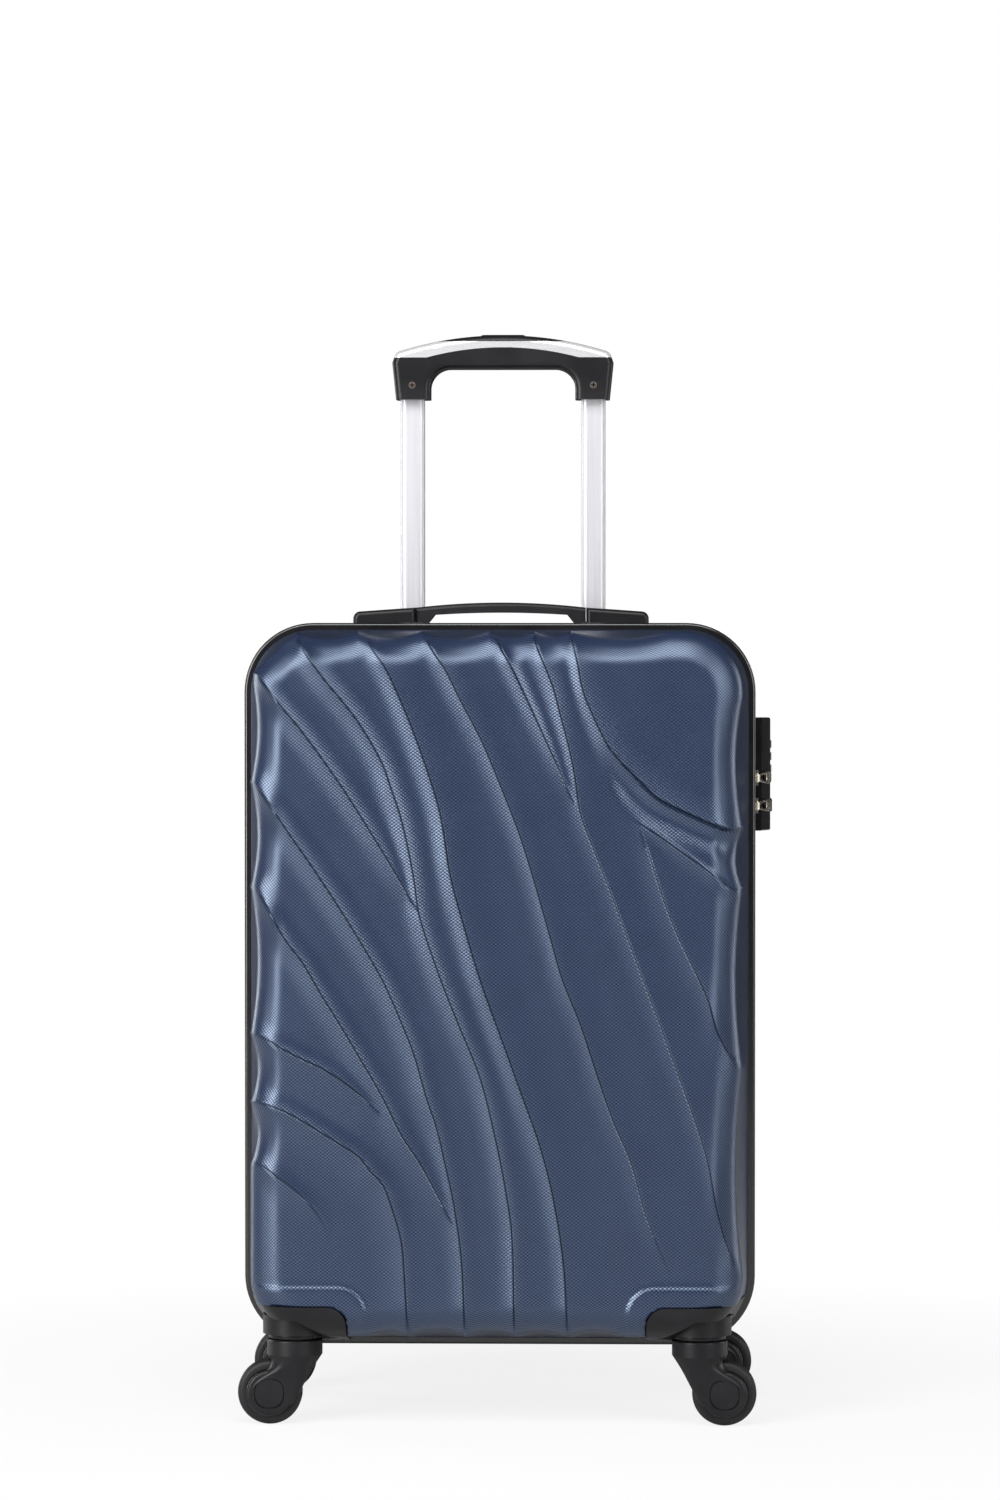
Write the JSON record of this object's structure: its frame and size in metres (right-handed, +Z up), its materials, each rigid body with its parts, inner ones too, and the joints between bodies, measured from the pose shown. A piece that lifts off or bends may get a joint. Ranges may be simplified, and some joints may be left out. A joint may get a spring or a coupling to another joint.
{
  "type": "hard shell suitcase",
  "caption": "Upright hard shell travel case with wave-moulded halves, zip seam, side lock, carry handle, telescopic trolley grip and swivelling caster wheels.",
  "frame": {"origin": "on the floor under the middle of the case, on the zip plane", "axes": "+X to the lock side, -Y to the front face, +Z up along the trolley"},
  "size_m": [0.3603, 0.216, 0.7366],
  "materials": {
    "shell": "satin, fine diamond texture",
    "trim": "satin",
    "zip": "woven tape with coil",
    "lining": "woven polyester",
    "hinge_fabric": "woven tape",
    "webbing": "elastic webbing",
    "black_plastic": "fine grained satin",
    "gloss_black": "polished",
    "grip_rubber": "soft touch",
    "dial": "satin",
    "tube": "bright anodised",
    "bright_metal": "polished",
    "screw": "bronzed",
    "zip_metal": "pale gold plate",
    "tyre": "matt"
  },
  "bodies": {
    "rear_half": {"rear_shell": "shell", "rear_edge_trim": "trim", "rear_zip_chain": "zip", "rear_lining": "lining", "hinge_tape": "hinge_fabric", "packing_straps": "webbing", "strap_buckle": "black_plastic", "trolley_cup": "black_plastic", "outer_tubes": "tube", "trolley_base": "black_plastic", "lock_housing": "gloss_black", "carry_handle_caps": "black_plastic", "caster_housing_rear_left": "black_plastic", "caster_housing_rear_right": "black_plastic", "swivel_post_rear_left": "gloss_black", "swivel_post_rear_right": "gloss_black"},
    "front_half": {"front_shell": "shell", "front_edge_trim": "trim", "front_zip_chain": "zip", "front_lining": "lining", "caster_housing_front_left": "black_plastic", "caster_housing_front_right": "black_plastic", "swivel_post_front_left": "gloss_black", "swivel_post_front_right": "gloss_black"},
    "carry_handle": {"carry_handle_grip": "grip_rubber"},
    "trolley_mid": {"mid_tubes": "tube", "mid_tube_collars": "black_plastic"},
    "trolley_grip": {"inner_tubes": "tube", "latch_plugs": "black_plastic", "grip_body": "black_plastic", "grip_inlay": "bright_metal", "grip_cover": "black_plastic", "grip_screws": "screw"},
    "trolley_button": {"push_button": "black_plastic", "release_linkage": "screw"},
    "dial_1": {"lock_dial_1": "dial"},
    "dial_2": {"lock_dial_2": "dial"},
    "dial_3": {"lock_dial_3": "dial"},
    "lock_push": {"lock_button": "gloss_black"},
    "zip_upper": {"zip_slider_upper": "zip_metal"},
    "zip_lower": {"zip_slider_lower": "zip_metal"},
    "pull_upper": {"zip_pull_upper": "zip_metal"},
    "pull_lower": {"zip_pull_lower": "zip_metal"},
    "caster_front_left": {"fork_front_left": "black_plastic", "axle_front_left": "black_plastic"},
    "wheel_front_left": {"wheel_hub_front_left": "black_plastic", "tyre_front_left": "tyre"},
    "caster_front_right": {"fork_front_right": "black_plastic", "axle_front_right": "black_plastic"},
    "wheel_front_right": {"wheel_hub_front_right": "black_plastic", "tyre_front_right": "tyre"},
    "caster_rear_left": {"fork_rear_left": "black_plastic", "axle_rear_left": "black_plastic"},
    "wheel_rear_left": {"wheel_hub_rear_left": "black_plastic", "tyre_rear_left": "tyre"},
    "caster_rear_right": {"fork_rear_right": "black_plastic", "axle_rear_right": "black_plastic"},
    "wheel_rear_right": {"wheel_hub_rear_right": "black_plastic", "tyre_rear_right": "tyre"}
  },
  "joints": [
    {"name": "case_opening", "type": "hinge", "parent": "rear_half", "child": "front_half", "pos_m": [-0.175, 0, 0.29], "axis": [0, 0, -1], "range_deg": [0, 180]},
    {"name": "trolley_lower_stage", "type": "slide", "parent": "rear_half", "child": "trolley_mid", "axis": [0, 0, 1], "range_m": [0, 0.19]},
    {"name": "trolley_upper_stage", "type": "slide", "parent": "trolley_mid", "child": "trolley_grip", "axis": [0, 0, 1], "range_m": [-0.1965, 0]},
    {"name": "trolley_release", "type": "slide", "parent": "trolley_grip", "child": "trolley_button", "axis": [0, 0, -1], "range_m": [0, 0.0025], "stiffness_N_per_m": 1000, "springref_m": -0.003},
    {"name": "carry_handle_lift", "type": "slide", "parent": "rear_half", "child": "carry_handle", "axis": [0, 0, 1], "range_m": [0, 0.007]},
    {"name": "dial_1_turn", "type": "hinge", "parent": "rear_half", "child": "dial_1", "pos_m": [0.1795, 0.033, 0.436], "axis": [0, 0, 1], "continuous": true},
    {"name": "dial_2_turn", "type": "hinge", "parent": "rear_half", "child": "dial_2", "pos_m": [0.1795, 0.033, 0.4444], "axis": [0, 0, 1], "continuous": true},
    {"name": "dial_3_turn", "type": "hinge", "parent": "rear_half", "child": "dial_3", "pos_m": [0.1795, 0.033, 0.4528], "axis": [0, 0, 1], "continuous": true},
    {"name": "lock_press", "type": "slide", "parent": "rear_half", "child": "lock_push", "axis": [-1, 0, 0], "range_m": [0, 0.0016], "stiffness_N_per_m": 400, "springref_m": -0.002},
    {"name": "zip_upper_slide", "type": "slide", "parent": "rear_half", "child": "zip_upper", "axis": [0, 0, 1], "range_m": [0, 0.048]},
    {"name": "zip_lower_slide", "type": "slide", "parent": "rear_half", "child": "zip_lower", "axis": [0, 0, -1], "range_m": [0, 0.3]},
    {"name": "pull_upper_swing", "type": "hinge", "parent": "zip_upper", "child": "pull_upper", "pos_m": [0.1753, 0, 0.4305], "axis": [0, 0, 1], "range_deg": [-120, 0]},
    {"name": "pull_lower_swing", "type": "hinge", "parent": "zip_lower", "child": "pull_lower", "pos_m": [0.1753, 0, 0.4115], "axis": [0, 0, 1], "range_deg": [-120, 0]},
    {"name": "swivel_front_left", "type": "hinge", "parent": "front_half", "child": "caster_front_left", "pos_m": [-0.1355, -0.075, 0.05], "axis": [0, 0, 1], "continuous": true},
    {"name": "roll_front_left", "type": "hinge", "parent": "caster_front_left", "child": "wheel_front_left", "pos_m": [-0.152, -0.075, 0.0215], "axis": [0, 1, 0], "continuous": true},
    {"name": "swivel_front_right", "type": "hinge", "parent": "front_half", "child": "caster_front_right", "pos_m": [0.1355, -0.075, 0.05], "axis": [0, 0, 1], "continuous": true},
    {"name": "roll_front_right", "type": "hinge", "parent": "caster_front_right", "child": "wheel_front_right", "pos_m": [0.152, -0.075, 0.0215], "axis": [0, 1, 0], "continuous": true},
    {"name": "swivel_rear_left", "type": "hinge", "parent": "rear_half", "child": "caster_rear_left", "pos_m": [-0.1355, 0.075, 0.05], "axis": [0, 0, 1], "continuous": true},
    {"name": "roll_rear_left", "type": "hinge", "parent": "caster_rear_left", "child": "wheel_rear_left", "pos_m": [-0.152, 0.075, 0.0215], "axis": [0, 1, 0], "continuous": true},
    {"name": "swivel_rear_right", "type": "hinge", "parent": "rear_half", "child": "caster_rear_right", "pos_m": [0.1355, 0.075, 0.05], "axis": [0, 0, 1], "continuous": true},
    {"name": "roll_rear_right", "type": "hinge", "parent": "caster_rear_right", "child": "wheel_rear_right", "pos_m": [0.152, 0.075, 0.0215], "axis": [0, 1, 0], "continuous": true}
  ]
}
